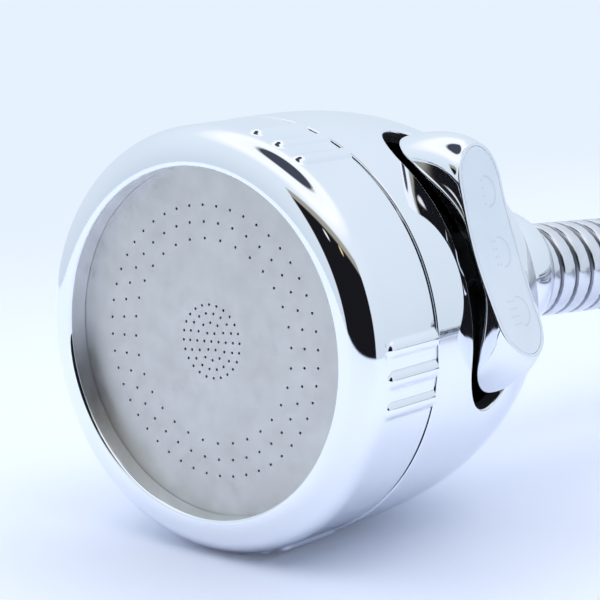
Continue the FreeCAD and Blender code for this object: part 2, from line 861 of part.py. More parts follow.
def tail_frame():
    points = tail_points(coil_station(2.5)[0])
    direction = points[-1] - points[-2]
    return points[-1], direction.normalize()


def at_tail(shape):
    """Moves a shape drawn on the Y axis from Y = 0 onward to the hose's far end."""
    point, direction = tail_frame()
    placed = shape.copy()
    there = FreeCAD.Placement(point, FreeCAD.Rotation(AXIS, direction))
    placed.Placement = there.multiply(placed.Placement)
    return placed


def make_end_ferrule():
    collar = nipple_collar_radius + 0.1
    sleeve = turned(
        (hose_radius + running, -12.0), (ferrule_radius - 0.4, -12.0), (ferrule_radius, -11.4),
        (ferrule_radius, 3.0), (collar, 3.6), (collar, 1.4), (hose_radius + running, 1.4),
    )
    return at_tail(sleeve)


def make_end_nipple():
    nipple = turned(
        (stem_bore, -15.0), (stem_radius, -15.0), (stem_radius, 0.2),
        (nipple_collar_radius, 0.2), (nipple_collar_radius, nipple_face - 1.8),
        (nipple_head_radius, nipple_face - 1.8), (nipple_head_radius, nipple_face),
        (stem_bore, nipple_face),
    )
    return at_tail(nipple)


def make_end_nut():
    room = washer_radius + 0.15
    neck = nipple_collar_radius + 0.4
    back, inside = nipple_face - 6.2, nipple_face - 2.0
    nut = turned(
        (neck, back), (nut_radius - 3.4, back), (nut_radius, inside + 0.6), (nut_radius, nut_mouth - 0.6),
        (nut_radius - 0.6, nut_mouth), (inlet_thread_radius, nut_mouth),
        (inlet_thread_radius, inlet_thread_start), (room, inlet_thread_start),
        (room, inside), (neck, inside),
    )
    for index in range(12):
        x, z = polar(nut_radius + 0.9, 30.0 * index)
        nut = nut.cut(rod(1.4, back - 0.6, nut_mouth + 0.4, x, z))
    return at_tail(nut)


def make_end_washer():
    return at_tail(tube(washer_radius, washer_radius - 3.3, nipple_face, nipple_face + washer_thickness))


def make_inlet_filter():
    back = nipple_face + washer_thickness
    disc = rod(washer_radius, back, back + 0.4)
    holes = []
    for radius, count in {0.0: 1, 2.0: 6, 4.0: 12}.items():
        for index in range(count):
            x, z = polar(radius, 360.0 * index / count)
            holes.append(rod(0.5, back - 0.5, back + 1, x, z))
    return at_tail(disc.cut(Part.makeCompound(holes)))


def make_parts():
    lead = rounded_route(lead_points(), "lead")
    coil = coil_path()
    tail = rounded_route(tail_points(coil_station(2.5)[0]), "tail")
    print_coil_gap(coil)
    front_length = band_pitch * front_bands
    total = front_length + lead.Length + coil.Length + tail.Length
    print("hose length", round(total, 1))
    return {
        "face_ring": make_face_ring(),
        "spray_plate": make_spray_plate(),
        "plate_gasket": make_plate_gasket(),
        "distributor": make_distributor(),
        "centre_seal": make_centre_seal(),
        "valve_seat": make_valve_seat(),
        "port_seals": make_port_seals(),
        "seat_screws": make_seat_screws(),
        "selector_disc": make_selector_disc(),
        "core_housing": make_core_housing(),
        "pin_seal": make_pin_seal(),
        "body_shell": make_body_shell(),
        "lever": make_lever(),
        "lever_plate": make_lever_plate(),
        "lever_pin": make_lever_pin(),
        "crank_arm": make_crank_arm(),
        "ball_stud": make_ball_stud(),
        "stud_seal": make_stud_seal(),
        "neck_nut": make_neck_nut(),
        "socket_cup": make_socket_cup(),
        "ball_seat": make_ball_seat(),
        "ball_seal": make_ball_seal(),
        "cup_nut": make_cup_nut(),
        "hose_nipple": make_hose_nipple(),
        "hose_front": make_hose_front(),
        "hose_lead": hollow(lead, hose_radius, hose_bore, "hose_lead"),
        "hose_coil": hollow(coil, hose_radius, hose_bore, "hose_coil"),
        "hose_tail": hollow(tail, hose_radius, hose_bore, "hose_tail"),
        "hose_liner": hollow(liner_path(lead, coil, tail), liner_radius, liner_bore, "hose_liner"),
        "end_ferrule": make_end_ferrule(),
        "end_nipple": make_end_nipple(),
        "end_nut": make_end_nut(),
        "end_washer": make_end_washer(),
        "inlet_filter": make_inlet_filter(),
    }


def base_centre(parts):
    """Middle of the underside of the head's box, without the hose and what is on it."""
    own = [shape for name, shape in parts.items() if not name.startswith(on_the_hose)]
    points = Part.makeCompound(own).tessellate(0.02)[0]
    along_x = [point.x for point in points]
    along_y = [point.y for point in points]
    middle_x = (min(along_x) + max(along_x)) / 2
    middle_y = (min(along_y) + max(along_y)) / 2
    return V(middle_x, middle_y, floor_height())


def main():
    os.makedirs("parts", exist_ok=True)
    parts = make_parts()
    base = base_centre(parts)
    print("base centre", [round(value, 4) for value in base])
    point, direction = tail_frame()
    middle = point + direction * (inlet_thread_start + nut_mouth) * 0.5 - base
    print("inlet thread middle", [round(value, 3) for value in middle], "axis", direction)
    for name, shape in parts.items():
        placed = shape.copy()
        placed.translate(base * -1)
        placed.exportStep("parts/" + name + ".step")
        print(name, "solids", len(placed.Solids), "valid", placed.isValid(), "volume", round(placed.Volume))


main()
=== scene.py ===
import json
import math

import bmesh
import bpy
from mathutils import Matrix, Vector
from mathutils.geometry import delaunay_2d_cdt


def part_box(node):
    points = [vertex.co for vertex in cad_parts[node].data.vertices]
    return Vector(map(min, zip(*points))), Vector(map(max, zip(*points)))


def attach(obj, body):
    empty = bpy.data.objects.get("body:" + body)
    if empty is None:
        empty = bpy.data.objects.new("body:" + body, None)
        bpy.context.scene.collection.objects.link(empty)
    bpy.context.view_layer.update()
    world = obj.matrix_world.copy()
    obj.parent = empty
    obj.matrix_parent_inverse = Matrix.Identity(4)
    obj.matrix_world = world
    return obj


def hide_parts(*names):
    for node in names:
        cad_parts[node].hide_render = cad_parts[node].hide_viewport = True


# A hand-held bath spray head on a banded steel hose, lying on a pale floor.
# Everything is in metres. Places on the head are given in the head's own frame: its axis is +Y,
# from the middle of the spray plate's front face towards the hose.

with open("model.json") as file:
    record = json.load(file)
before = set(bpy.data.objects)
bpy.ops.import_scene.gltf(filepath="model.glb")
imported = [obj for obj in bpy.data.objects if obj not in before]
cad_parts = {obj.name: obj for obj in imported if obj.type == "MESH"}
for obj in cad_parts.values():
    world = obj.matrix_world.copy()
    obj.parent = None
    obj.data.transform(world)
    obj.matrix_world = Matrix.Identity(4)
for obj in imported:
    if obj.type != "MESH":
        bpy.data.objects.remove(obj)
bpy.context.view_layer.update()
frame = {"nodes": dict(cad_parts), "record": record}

MM = 0.001
TURN = 2 * math.pi

# Places nearer to each other than this count as one
SMALL = 0.002 * MM

plate_low, plate_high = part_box("spray_plate")
HEAD = Vector(((plate_low.x + plate_high.x) / 2, plate_low.y, (plate_low.z + plate_high.z) / 2))
FLOOR = 0.0

# Camera: place in the head's frame, and its own right and backward directions
CAMERA_PLACE = Vector((0.17951, -0.20035, 0.05744))
CAMERA_RIGHT = Vector((0.77177, 0.63590, 0.0))
CAMERA_BACK = Vector((0.62427, -0.75765, 0.19038))
CAMERA_LENS = 131.17
SENSOR = 36.0
CLIP_NEAR = 0.01
CLIP_FAR = 20.0

# Head
RING_RADIUS = 27.3 * MM
RING_FRONT = -2.8 * MM
RING_BACK = 10.5 * MM
RING_EDGE = 0.2 * MM
RING_STEP = 0.45 * MM
SEAM_GAP = 0.02 * MM
RING_SEAT = -0.05 * MM
RING_BORE = 25.2 * MM
SEAT_RADIUS = 24.2 * MM
SEAT_DEPTH = 1.7 * MM
RING_SEGMENTS = 1380
RING_CORNER = 3.9 * MM
LIP_RADIUS = 0.5 * MM
VIEW_RADIUS = 22.3 * MM
RIB_RADIUS = 1.35 * MM
RIB_AXIS_RADIUS = 26.5 * MM
RIB_FRONT = 1.9 * MM
RIB_NOSE = 0.6 * MM
RIB_BLEND = 0.1 * MM
RIB_BELT = 0.5 * MM
RIB_START = 2.0 * MM
RIB_GROUPS = 5
RIBS_PER_GROUP = 3
RIB_FIRST = -3.0
RIB_PITCH = 8.0
RIB_REACH = 10.0
SHELL_FRONT = 10.88 * MM
SHELL_RADIUS = 27.4 * MM
SHELL_WALL = 1.8 * MM
SHELL_EDGE = 0.2 * MM
DOME_START = 15.0 * MM
DOME_LENGTH = 36.5 * MM
DOME_POWER = 2.5
NECK_RADIUS = 9.6 * MM
NECK_BORE = 8.7 * MM
NECK_END = 52.2 * MM
NECK_EDGE = 0.4 * MM
NECK_BLEND = 1.2 * MM

# Mesh of the shell: its columns; its rows up to the dome, beside the slot, and from there to the neck's
# end; the window that is meshed around the slot, and the rows over the slot's edge
SHELL_COLUMNS = 300
SHELL_STEP = TURN / SHELL_COLUMNS
FINE_END = 34.0 * MM
FRONT_ROWS = 8
FINE_ROWS = 22
BACK_ROWS = 34
WINDOW_FRONT = 15.9 * MM
WINDOW_BACK = 33.2 * MM
WINDOW_HALF_COLUMNS = 60
SLOT_SAMPLES = 300
SLOT_MARGIN = 1.6 * MM
SLOT_ROWS = (1.1 * MM, 0.7 * MM)
SLOT_CLEAR = 0.35 * MM
EDGE_STEPS = 6

# Lever and slot
LEVER_ANGLE = math.radians(24.5)
LEVER_PLACE = 24.0 * MM
LEVER_NOW = math.radians(1.0)
PIVOT_RADIUS = 20.5 * MM
SLOT_HALF_LENGTH = 19.1 * MM
SLOT_HALF_WIDTH = 5.65 * MM
SLOT_EDGE = 0.4 * MM
BLACK_START = SLOT_EDGE + 0.05 * MM
LEVER_TOP = 28.95 * MM
LEVER_HALF_LENGTH = 14.0 * MM
LEVER_HALF_WIDTH = 4.5 * MM
LEVER_SIDE_BULGE = 0.3 * MM
LEVER_SHIFT = -0.8 * MM
LEVER_LEAN = math.radians(3.3)
LEVER_HOLLOW = 85.0 * MM
LEVER_EDGE = 0.15 * MM
FACE_SHOULDER = 0.64
WING_HALF_LENGTH = 17.3 * MM
WING_HALF_WIDTH = 4.75 * MM
WING_WAIST = 3.7 * MM
WING_SHOULDER = 0.78
SKIRT_RADIUS = 27.4 * MM
HUB_RADIUS = 3.4 * MM
HUB_FRONT = 18.2 * MM
HUB_BACK = 27.0 * MM
HUB_SEGMENTS = 48
WEB_HALF_WIDTH = 2.6 * MM
WEB_HALF_LENGTH = 0.9 * HUB_RADIUS
WEB_TOP = SKIRT_RADIUS - 0.1 * MM
PIN_RADIUS = 1.5 * MM
PLATE_INSET = 0.55 * MM
PLATE_GAP = 0.04 * MM
POCKET_DEPTH = 0.3 * MM
FINE_EDGE = 0.02 * MM
RIM_STEP = 0.03 * MM
FLANK_POWER = 1.8
FLANK_LIFTS = (0.0, 0.04, 0.09, 0.15, 0.22, 0.3, 0.4, 0.5, 0.6, 0.7, 0.8, 0.9, 1.0)
LEVER_SAMPLES = 360
PLATE_SAMPLES = 240
FILL_COLUMNS = 14
MARK_PLACES = (7.7 * MM, -0.1 * MM, -7.9 * MM)
MARK_RADIUS = 2.05 * MM
MARK_SHIFT = 0.7 * MM
MARK_LINE = 0.22 * MM
MARK_LIFT = 0.008 * MM
MARK_STEPS = 32
DOT_RADIUS = 0.16 * MM
DOT_PITCH = 0.6 * MM
DOT_ROW_PITCH = 1.0 * MM
DOT_ROWS = (-1.5, -0.5, 0.5, 1.5)
DOT_SIDES = 12

# Swivel and hose
BALL_PLACE = 60.5 * MM
CUP_RADIUS = 10.0 * MM
CUP_FRONT = -5.0 * MM
CUP_BACK = 7.0 * MM
CUP_MOUTH = 5.1 * MM
CUP_MOUTH_DEPTH = 0.85 * MM
CUP_FACE = 8.1 * MM
CUP_END = 7.0 * MM
CUP_ROUND = 0.16 * MM
CUP_ROUND_DEPTH = 0.03 * MM
CUP_BORE = 6.75 * MM
CUP_BORE_END = 1.0 * MM
CUP_SEGMENTS = 192
HOSE_AXIS = Vector((0.159, 0.985, -0.048)).normalized()
HOSE_DIAMETER = 0.014
HOSE_START = 7.1 * MM
HOSE_STEP = 0.5 * MM
HOSE_SIDES = 30
FRONT_MIDDLE = 0.016
FRONT_LENGTH = 0.033
BAND_PITCH = 3.3 * MM
BAND_SHIFT = -1.0 * MM
GROOVE_DEPTH = 0.6 * MM
COIL_ENTRY = (0.0150, 0.2550)
COIL_OUTER = 0.086
COIL_INNER = 0.069
COIL_LAYER = 0.0145
COIL_TURNS = 2.5
COIL_STEPS = 16
LINE_STEPS = 24

# Places on the hose's way: down from the head, counted from it, and off the coil, counted from its side
LEAD_RUN = 0.024
LEAD_PLACES = ((0.0128, 0.1500, -0.0070), (0.0143, 0.1770, -0.0094), (0.0150, 0.2050, -0.0078))
TAIL_PLACES = (
    (0.0, -0.0270, 0.0), (0.0030, -0.0570, 0.0), (0.0085, -0.0870, 0.00155), (0.0145, -0.1150, 0.00410),
)

# One turn of the hose's band: share of the pitch, and share of the groove's depth
BAND_OUTLINE = (
    (0.00, 0.20), (0.12, 0.0), (0.54, 0.0), (0.68, 0.08), (0.77, 0.27), (0.795, 1.0), (0.94, 1.0),
)
# From this row of each turn on, faces lie in the groove and take its painted shade.
GROOVE_FIRST = 4

# Floor and backdrop. The floor takes the backdrop's colour away from the object, and lets mirrored
# rays through further out; each pair says where that starts and where it is complete.
FLOOR_SIZE = 3.0
FLOOR_COLOUR = (0.80, 0.845, 0.99)
FLOOR_LIGHTER = (0.82, 0.86, 1.0)
BACKDROP = (0.80, 0.885, 1.0)
FADE = (0.05, 0.28)
FADE_NEAR = 0.08
FADE_RISE = 0.92
COIL_NEARER = 0.06
MIRROR_FADE = (0.24, 0.30)

# The tent that the chrome mirrors. The walls' colours go by height, from 0 straight down to 1 straight
# up. The opening and its flap are placed by slope, as seen from the object; each pair says where an
# edge starts and where it is complete. A lamp has its azimuth and elevation in degrees, and its colour.
WALLS = (
    (0.0, (0.66, 0.76, 0.95)),
    (0.40, (0.68, 0.775, 0.93)),
    (0.46, (0.70, 0.795, 0.90)),
    (0.85, (0.82, 0.905, 1.01)),
    (0.92, (1.1, 1.12, 1.15)),
    (0.976, (1.05, 1.08, 1.12)),
    (0.984, (0.06, 0.07, 0.10)),
)
OPEN_SIDE = math.radians(-54.0)
OPEN_FRONT = (0.02, 0.06)
OPEN_SIDES = (1.10, 1.00)
OPEN_BOTTOM = (-0.23, -0.20)
OPEN_TOP = (0.86, 0.78)
OPEN_COLOUR = (0.010, 0.010, 0.013)
FLAP_TOP = (1.15, 1.00)
FLAP_COLOUR = (0.38, 0.36, 0.31)
LAMPS = ((-71.0, 33.0, (1.0, 1.0, 1.0)), (-46.0, 36.0, (0.9, 0.7, 0.4)))
LAMP_EDGE = (3.0, 1.0)
OVERHEAD_RISE = 1.55
OVERHEAD_START = -0.35


# Camera

def make_camera():
    data = bpy.data.cameras.new("camera")
    data.lens = CAMERA_LENS
    data.sensor_width = SENSOR
    data.clip_start = CLIP_NEAR
    data.clip_end = CLIP_FAR
    camera = bpy.data.objects.new("camera", data)
    bpy.context.scene.collection.objects.link(camera)
    back = CAMERA_BACK.normalized()
    right = CAMERA_RIGHT.normalized()
    up = back.cross(right)
    turned = Matrix((right, up, back)).transposed()
    camera.matrix_world = Matrix.Translation(HEAD + CAMERA_PLACE) @ turned.to_4x4()
    bpy.context.scene.camera = camera


# Mesh helpers

def new_object(name, mesh):
    made = bpy.data.objects.new(name, mesh)
    bpy.context.scene.collection.objects.link(made)
    return made


def mesh_object(name, points, faces, sharp_degrees=40.0, merge=0.0, slots=()):
    """Smooth-shaded mesh whose edges over the given angle stay sharp; slots gives each face's material."""
    mesh = bpy.data.meshes.new(name)
    mesh.from_pydata([tuple(point) for point in points], [], faces)
    if slots:
        mesh.polygons.foreach_set("material_index", slots)
    work = bmesh.new()
    work.from_mesh(mesh)
    if merge:
        bmesh.ops.remove_doubles(work, verts=work.verts, dist=merge)
    bmesh.ops.recalc_face_normals(work, faces=work.faces)
    limit = math.radians(sharp_degrees)
    for edge in work.edges:
        edge.smooth = not (len(edge.link_faces) == 2 and edge.calc_face_angle() > limit)
    for face in work.faces:
        face.smooth = True
    work.to_mesh(mesh)
    work.free()
    return new_object(name, mesh)


def grid_faces(rows, columns, wrap_columns=True, wrap_rows=False):
    """Quads between rows of points that are stored one row after another."""
    faces = []
    last_row = rows if wrap_rows else rows - 1
    last_column = columns if wrap_columns else columns - 1
    for row in range(last_row):
        below, above = row * columns, (row + 1) % rows * columns
        for column in range(last_column):
            onward = (column + 1) % columns
            faces.append((below + column, below + onward, above + onward, above + column))
    return faces


def add_rows(points, faces, rows, wrap_columns=True, wrap_rows=False):
    """Adds rows of places, each joined to the next."""
    base = len(points)
    for row in rows:
        points.extend(row)
    for face in grid_faces(len(rows), len(rows[0]), wrap_columns, wrap_rows):
        faces.append(tuple(base + corner for corner in face))


def head_point(x, y, z):
    return HEAD + Vector((x, y, z))


def around_head(radius, angle, y):
    return head_point(radius * math.cos(angle), y, radius * math.sin(angle))


def lever_frame_point(q, y, w):
    """Point on the lever's axes: q stands out of the body, w runs along the lever."""
    out = Vector((math.cos(LEVER_ANGLE), 0, math.sin(LEVER_ANGLE)))
    along = Vector((-math.sin(LEVER_ANGLE), 0, math.cos(LEVER_ANGLE)))
    return HEAD + out * q + along * w + Vector((0, y, 0))


def rocked_point(q, y, w):
    """The same, turned about the lever's pivot to where the photograph shows it."""
    out, along = q - PIVOT_RADIUS, w
    turned_out = out * math.cos(LEVER_NOW) + along * math.sin(LEVER_NOW)
    turned_along = along * math.cos(LEVER_NOW) - out * math.sin(LEVER_NOW)
    return lever_frame_point(PIVOT_RADIUS + turned_out, y, turned_along)


def arc(centre, radius, from_degrees, to_degrees, steps):
    """Points (radius, place) on an arc of an outline."""
    made = []
    for index in range(steps + 1):
        angle = math.radians(from_degrees + (to_degrees - from_degrees) * index / steps)
        made.append((centre[0] + radius * math.cos(angle), centre[1] + radius * math.sin(angle)))
    return made


def spread(start, end, steps):
    """Evenly spaced values from start to end, both counted."""
    return [start + (end - start) * index / steps for index in range(steps + 1)]


def lathe(name, profile, segments, place, sharp_degrees=40.0):
    """Turns (radius, place) points; place(radius, angle, y) puts each one in the row's frame."""
    points = []
    for radius, y in profile:
        for column in range(segments):
            points.append(place(radius, TURN * column / segments, y))
    faces = grid_faces(len(profile), segments, wrap_rows=True)
    return mesh_object(name, points, faces, sharp_degrees)


# Hose

def coil_places(centre, low):
    """Control points of the coil: a turn on top, half a turn down, and a turn on the floor."""
    pitch = COIL_OUTER - COIL_INNER
    outside = 1 / math.cos(math.pi / COIL_STEPS)
    places = []
    for index in range(int(COIL_TURNS * COIL_STEPS)):
        turn = (index + 0.5) / COIL_STEPS
        if turn < 1.0:
            radius, height = COIL_OUTER - pitch * turn, low + COIL_LAYER
        elif turn < 1.5:
            radius = COIL_INNER
            height = low + COIL_LAYER * 0.5 * (1 + math.cos(math.pi * (turn - 1.0) / 0.5))
        else:
            radius, height = COIL_INNER + pitch * (turn - 1.5), low
        angle = math.pi - TURN * turn
        reach = radius * outside
        places.append(centre + Vector((reach * math.cos(angle), reach * math.sin(angle), height)))
    return places


def hose_route():
    """Control points of the hose's middle line, from the swivel cup to its end nut."""
    start = HEAD + Vector((0, BALL_PLACE, 0)) + HOSE_AXIS * HOSE_START
    lead_start = start + HOSE_AXIS * FRONT_LENGTH
    points = [start, start + HOSE_AXIS * FRONT_MIDDLE, lead_start, lead_start + HOSE_AXIS * LEAD_RUN]
    points += [HEAD + Vector(place) for place in LEAD_PLACES]
    low = FLOOR + HOSE_DIAMETER / 2
    entry = HEAD + Vector((*COIL_ENTRY, 0))
    points.append(Vector((entry.x, entry.y - LEAD_RUN, low + COIL_LAYER)))
    centre = Vector((entry.x + COIL_OUTER, entry.y, 0))
    points += coil_places(centre, low)
    leave = Vector((centre.x + COIL_OUTER, centre.y, low))
    points += [leave + Vector(place) for place in TAIL_PLACES]
    return points


def spline_points(route):
    """The points that a smooth NURBS line through the route's neighbourhood runs on."""
    curve = bpy.data.curves.new("hose_line", "CURVE")
    curve.dimensions = "3D"
    curve.resolution_u = LINE_STEPS
    spline = curve.splines.new("NURBS")
    spline.points.add(len(route) - 1)
    for point, place in zip(spline.points, route):
        point.co = (place.x, place.y, place.z, 1.0)
    spline.order_u = 3
    spline.use_endpoint_u = True
    line = new_object("hose_line", curve)
    bpy.context.view_layer.update()
    mesh = bpy.data.meshes.new_from_object(line)
    points = [vertex.co.copy() for vertex in mesh.vertices]
    bpy.data.objects.remove(line)
    bpy.data.curves.remove(curve)
    bpy.data.meshes.remove(mesh)
    return points


def walk(points):
    """Running length at each point of a line."""
    lengths = [0.0]
    for before, after in zip(points, points[1:]):
        lengths.append(lengths[-1] + (after - before).length)
    return lengths


def at_length(points, lengths, wanted, index):
    """Place and heading at a length along a line, and the run it is on, at or after the given one."""
    while index < len(points) - 2 and lengths[index + 1] < wanted:
        index += 1
    run = points[index + 1] - points[index]
    share = (wanted - lengths[index]) / run.length
    return points[index] + run * share, run.normalized(), index


def hose_frames(line, lengths):
    """Place on the hose's middle line and two directions across it, at every step along it."""
    side = Vector((1, 0, 0))
    frames = []
    index = 0
    for step in range(int(lengths[-1] / HOSE_STEP) + 1):
        place, heading, index = at_length(line, lengths, step * HOSE_STEP, index)
        side = (side - heading * side.dot(heading)).normalized()
        frames.append((place, side, heading.cross(side)))
    return frames


def hose_point(frames, along, angle, reach):
    """Point at a length along the hose, an angle around it and a distance from its middle line."""
    spot = along / HOSE_STEP
    low = min(int(spot), len(frames) - 2)
    place, side, above = [near.lerp(far, spot - low) for near, far in zip(frames[low], frames[low + 1])]
    return place + (side * math.cos(angle) + above * math.sin(angle)) * reach


def hose_faces(rows):
    """Quads between the rows, joined to the next turn where a row closes, and which lie in a groove."""
    faces, slots = [], []
    for row in range(rows - 1):
        # Faces in a groove take the darker steel that paints the shade between the bands.
        in_shaded_groove = int(row % len(BAND_OUTLINE) >= GROOVE_FIRST)
        for column in range(HOSE_SIDES - 1):
            here = row * HOSE_SIDES + column
            faces.append((here, here + 1, here + HOSE_SIDES + 1, here + HOSE_SIDES))
            slots.append(in_shaded_groove)
        here = row * HOSE_SIDES + HOSE_SIDES - 1
        ahead = row + len(BAND_OUTLINE)
        if ahead + 1 < rows:
            faces.append((here, ahead * HOSE_SIDES, (ahead + 1) * HOSE_SIDES, here + HOSE_SIDES))
            slots.append(in_shaded_groove)
    return faces, slots


def make_hose():
    """Steel band wound on as a shallow screw: flat bands with a narrow groove between them."""
    line = spline_points(hose_route())
    lengths = walk(line)
    total = lengths[-1]
    radius = HOSE_DIAMETER / 2
    stations = []
    for turn in range(-1, int(total / BAND_PITCH) + 2):
        for share, depth in BAND_OUTLINE:
            stations.append(((turn + share) * BAND_PITCH + BAND_SHIFT, radius - depth * GROOVE_DEPTH))
    frames = hose_frames(line, lengths)
    points = []
    for station, reach in stations:
        for column in range(HOSE_SIDES):
            share = column / HOSE_SIDES
            wanted = station + share * BAND_PITCH
            along = min(max(wanted, 0.0), total)
            points.append(hose_point(frames, along, TURN * share, reach if along == wanted else radius))
    faces, slots = hose_faces(len(stations))
    return mesh_object("hose", points, faces, 55.0, merge=1e-7, slots=slots), line


# Face ring

def rib_rise(angle, y):
    """Radius of the nearest rib's surface at a place on the ring; less than the ring's beside a rib."""
    degrees = math.degrees(angle)
    best = 180.0
    for group in range(RIB_GROUPS):
        for index in range(RIBS_PER_GROUP):
            middle = RIB_FIRST + 360.0 * group / RIB_GROUPS + RIB_PITCH * (index - 1)
            away = abs((degrees - middle + 180.0) % 360.0 - 180.0)
            best = min(best, away)
    away = math.radians(best)
    ahead = min(0.0, y - RIB_FRONT)
    left = RIB_RADIUS ** 2 - ahead ** 2 - (RIB_AXIS_RADIUS * math.sin(away)) ** 2
    if best > RIB_REACH:
        return 0.0
    return RIB_AXIS_RADIUS * math.cos(away) + math.sqrt(max(left, 0.0))


def soft_max(first, second, softness):
    gap = first - second
    return 0.5 * (first + second + math.sqrt(gap * gap + softness * softness))


def ribbed_point(radius, angle, y):
    """Point on the ring, lifted where a rib stands on its outside."""
    in_belt = radius > RING_RADIUS - RIB_BELT and RING_FRONT + RIB_START < y < RING_BACK - SMALL / 2
    if in_belt:
        below = RING_RADIUS - radius
        radius = soft_max(radius, rib_rise(angle, y) - below, RIB_BLEND)
    return around_head(radius, angle, y)


def make_ring():
    """Ring with a rounded front corner, a lip around the plate, and a step that fills the seam."""
    corner = (RING_RADIUS - RING_CORNER, RING_FRONT + RING_CORNER)
    lip = (VIEW_RADIUS + LIP_RADIUS, RING_FRONT + LIP_RADIUS)
    back_corner = (RING_RADIUS - RING_EDGE, RING_BACK - RING_EDGE)
    rib_nose = RIB_FRONT + RIB_NOSE
    profile = [(VIEW_RADIUS, y) for y in spread(RING_SEAT, lip[1], 6)[:-1]]
    profile += arc(lip, LIP_RADIUS, 180, 270, 6)
    profile += arc(corner, RING_CORNER, 270, 360, 24)
    profile += [(RING_RADIUS, y) for y in spread(corner[1], rib_nose, 14)[1:]]
    profile += [(RING_RADIUS, y) for y in spread(rib_nose, back_corner[1], 8)[1:-1]]
    profile += arc(back_corner, RING_EDGE, 0, 90, 5)
    seam = (RING_RADIUS - RING_STEP, SHELL_FRONT - SEAM_GAP)
    profile += [(seam[0], RING_BACK), seam, (RING_BORE, seam[1])]
    profile += [(RING_BORE, SEAT_DEPTH), (SEAT_RADIUS, SEAT_DEPTH), (SEAT_RADIUS, RING_SEAT)]
    return lathe("face_ring_skin", profile, RING_SEGMENTS, ribbed_point, 50.0)


# Body shell

def dome_radius(y, radius, length):
    share = min(max(0.0, (y - DOME_START) / length), 1.0)
    return radius * (1 - share ** DOME_POWER) ** (1 / DOME_POWER)


def shell_outside(y):
    return soft_max(dome_radius(y, SHELL_RADIUS, DOME_LENGTH), NECK_RADIUS, NECK_BLEND)


def shell_inside(y):
    inner = dome_radius(y, SHELL_RADIUS - SHELL_WALL, DOME_LENGTH - SHELL_WALL)
    return max(inner, NECK_BORE)


def shell_point(angle, y, depth):
    """A place in the shell's wall; depth is 0 on the outside and 1 on the inside."""
    outside, inside = shell_outside(y), shell_inside(y)
    return around_head(outside + (inside - outside) * depth, angle, y)


def slot_outline(offset, count):
    """Points (w, y) on the slot's outline, moved outwards by an offset."""
    reach = SLOT_HALF_WIDTH + offset
    straight = SLOT_HALF_LENGTH - SLOT_HALF_WIDTH
    whole = 4 * straight + TURN * reach
    points = []
    for index in range(count):
        run = whole * index / count
        if run < 2 * straight:
            points.append((straight - run, LEVER_PLACE - reach))
            continue
        run -= 2 * straight
        if run < math.pi * reach:
            turn = run / reach
            points.append((-straight - reach * math.sin(turn), LEVER_PLACE - reach * math.cos(turn)))
            continue
        run -= math.pi * reach
        if run < 2 * straight:
            points.append((-straight + run, LEVER_PLACE + reach))
            continue
        turn = (run - 2 * straight) / reach
        points.append((straight + reach * math.sin(turn), LEVER_PLACE + reach * math.cos(turn)))
    return points


def shell_angle(w, y):
    return LEVER_ANGLE + math.asin(w / shell_outside(y))


def slot_offset(angle, y):
    """How far a place on the shell lies outside the slot's outline."""
    w = shell_outside(y) * math.sin(min(max(angle - LEVER_ANGLE, -1.5), 1.5))
    beyond = max(abs(w) - (SLOT_HALF_LENGTH - SLOT_HALF_WIDTH), 0.0)
    return math.hypot(beyond, y - LEVER_PLACE) - SLOT_HALF_WIDTH


def window_columns():
    """First and last column of the window around the slot."""
    middle = round(LEVER_ANGLE / SHELL_STEP)
    return middle - WINDOW_HALF_COLUMNS, middle + WINDOW_HALF_COLUMNS


def window_mesh(window_rows):
    """Places (angle, y) and triangles of the window, up to a margin around the slot."""
    first, last = window_columns()
    flat = []
    for y in window_rows:
        for column in range(first, last + 1):
            angle = column * SHELL_STEP
            inside = window_rows[0] < y < window_rows[-1] and first < column < last
            if not inside or slot_offset(angle, y) > SLOT_MARGIN + SLOT_CLEAR:
                flat.append((angle, y))
    start = len(flat)
    flat += [(shell_angle(w, y), y) for w, y in slot_outline(SLOT_MARGIN, SLOT_SAMPLES)]
    edges = [(start + index, start + (index + 1) % SLOT_SAMPLES) for index in range(SLOT_SAMPLES)]
    spots = [Vector((angle * SHELL_RADIUS, y)) for angle, y in flat]
    result = delaunay_2d_cdt(spots, edges, [], 0, 1e-9)
    places = [(spot.x / SHELL_RADIUS, spot.y) for spot in result[0]]
    kept = []
    for triangle in result[2]:
        angle = sum(places[corner][0] for corner in triangle) / 3
        y = sum(places[corner][1] for corner in triangle) / 3
        if slot_offset(angle, y) > SLOT_MARGIN - 2 * SMALL:
            kept.append(triangle)
    return places, kept


def shell_mesh(rows, window_rows):
    """Places (angle, y) and quads of the whole shell, with the window left open."""
    first, last = window_columns()
    flat = [(column * SHELL_STEP, y) for y in rows for column in range(SHELL_COLUMNS)]
    quads = []
    for face in grid_faces(len(rows), SHELL_COLUMNS):
        row, column = divmod(face[0], SHELL_COLUMNS)
        in_rows = rows[row] in window_rows and rows[row + 1] in window_rows
        if not (in_rows and (column - first) % SHELL_COLUMNS < last - first):
            quads.append(face)
    return flat, quads


def add_skins(points, faces, flat, cells):
    """Adds the same cells to the outside and to the inside of the shell."""
    for depth in (0.0, 1.0):
        base = len(points)
        points.extend(shell_point(angle, y, depth) for angle, y in flat)
        faces.extend(tuple(base + corner for corner in cell) for cell in cells)


def round_edge(radius):
    """Steps (how far along is left, share of the wall) over a rounded edge of the shell."""
    steps = []
    for turn in spread(0.0, math.pi / 2, EDGE_STEPS):
        steps.append((radius * (1 - math.sin(turn)), radius / SHELL_WALL * (1 - math.cos(turn))))
    return steps


